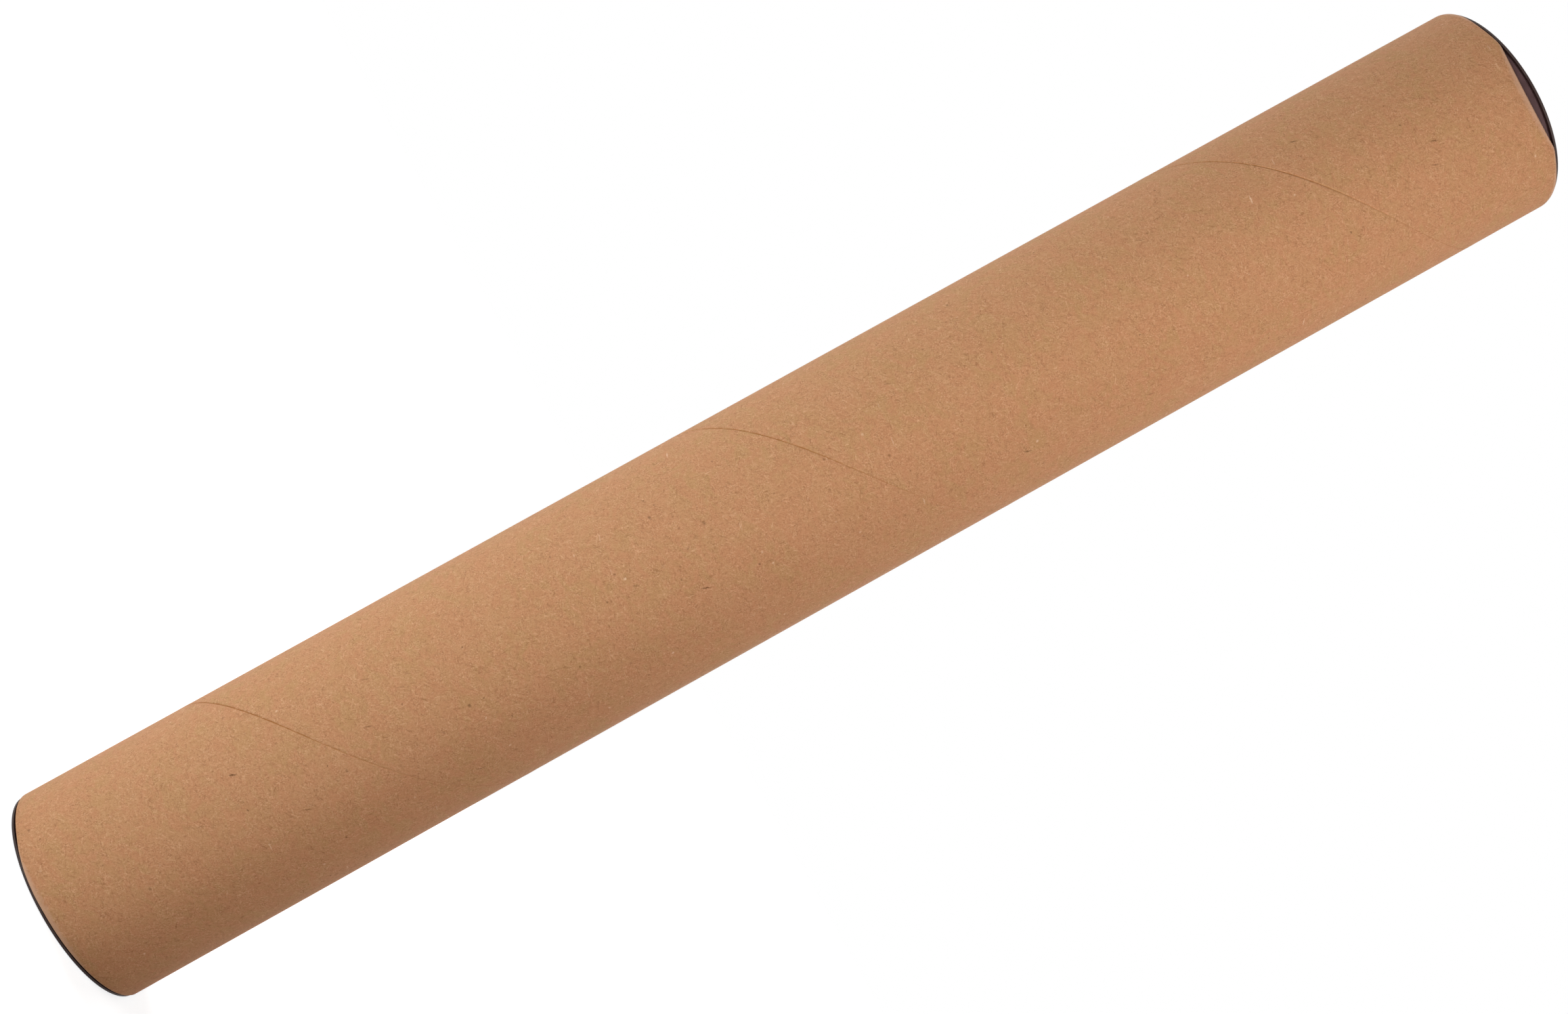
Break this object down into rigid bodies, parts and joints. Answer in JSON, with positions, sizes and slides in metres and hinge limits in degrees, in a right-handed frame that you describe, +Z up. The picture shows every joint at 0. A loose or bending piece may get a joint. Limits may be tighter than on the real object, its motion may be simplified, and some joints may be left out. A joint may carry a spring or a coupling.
{
  "type": "cardboard mailing tube",
  "caption": "Spiral-wound kraft board mailing tube with a plain seam, a shallow nick in its upper edge and a push-in black plastic plug cap at each end.",
  "frame": {"origin": "centre of the lower cap's outer face, on the surface that the tube stands on", "axes": "+Z up along the tube's axis to the end with the nick; -Y towards the side with the nick, which the picture's camera faces"},
  "size_m": [0.1052, 0.1052, 0.765],
  "materials": {
    "kraft_board": "matte brown kraft paper with fine fibres",
    "black_plastic": "satin moulded polyethylene"
  },
  "bodies": {
    "tube": {"tube": "kraft_board"},
    "lower_end_cap": {"lower_end_cap": "black_plastic"},
    "upper_end_cap": {"upper_end_cap": "black_plastic"}
  },
  "joints": [
    {"name": "lower_cap_pull", "type": "slide", "parent": "tube", "child": "lower_end_cap", "axis": [0, 0, -1], "range_m": [0, 0.04]},
    {"name": "upper_cap_pull", "type": "slide", "parent": "tube", "child": "upper_end_cap", "axis": [0, 0, 1], "range_m": [0, 0.04]}
  ]
}
